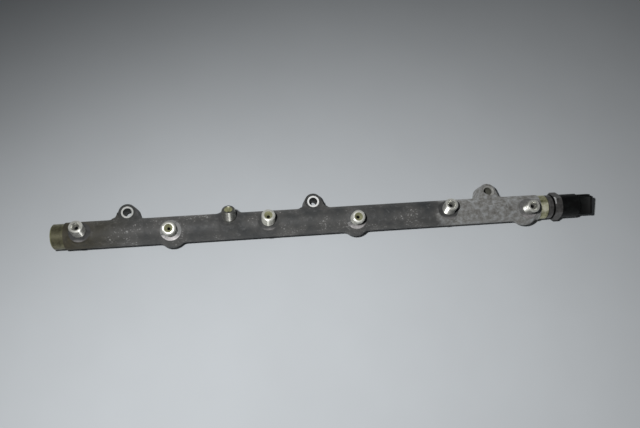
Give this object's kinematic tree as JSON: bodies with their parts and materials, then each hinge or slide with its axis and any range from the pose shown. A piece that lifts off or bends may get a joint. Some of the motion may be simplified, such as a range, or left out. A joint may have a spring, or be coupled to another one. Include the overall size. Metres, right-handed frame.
{
  "type": "fuel rail",
  "caption": "High-pressure common rail of an in-line diesel engine: forged tube with threaded outlets, bolt lugs and an end pressure sensor.",
  "frame": {"origin": "Middle lug's bolt axis, on its mounting face (the lug's underside)", "axes": "+X along the rail to the pressure sensor, +Z along the mounting bolts, away from the engine, -Y from the lugs to the rail"},
  "size_m": [0.5813, 0.0511, 0.0438],
  "materials": {
    "forged_steel": "forged skin with a dark oxide, machined ends and seats brighter",
    "plug_steel": "turned, oiled",
    "sensor_steel": "turned, dulled",
    "cell_steel": "ground",
    "throttle_steel": "turned",
    "carrier_plastic": "moulded",
    "board_laminate": "laminate",
    "chip_plastic": "moulded",
    "seal_rubber": "moulded",
    "connector_plastic": "moulded black, dusty",
    "terminal_metal": "tinned"
  },
  "bodies": {
    "root": {"rail_body": "forged_steel", "end_plug": "plug_steel", "sensor_body": "sensor_steel", "pressure_cell": "cell_steel", "board_carrier": "carrier_plastic", "circuit_board": "board_laminate", "signal_chip": "chip_plastic", "housing_seal": "seal_rubber", "connector_housing": "connector_plastic", "outlet_throttle_1": "throttle_steel", "outlet_throttle_2": "throttle_steel", "outlet_throttle_3": "throttle_steel", "outlet_throttle_4": "throttle_steel", "outlet_throttle_5": "throttle_steel", "outlet_throttle_6": "throttle_steel", "terminal_1": "terminal_metal", "terminal_2": "terminal_metal", "terminal_3": "terminal_metal"}
  },
  "joints": []
}
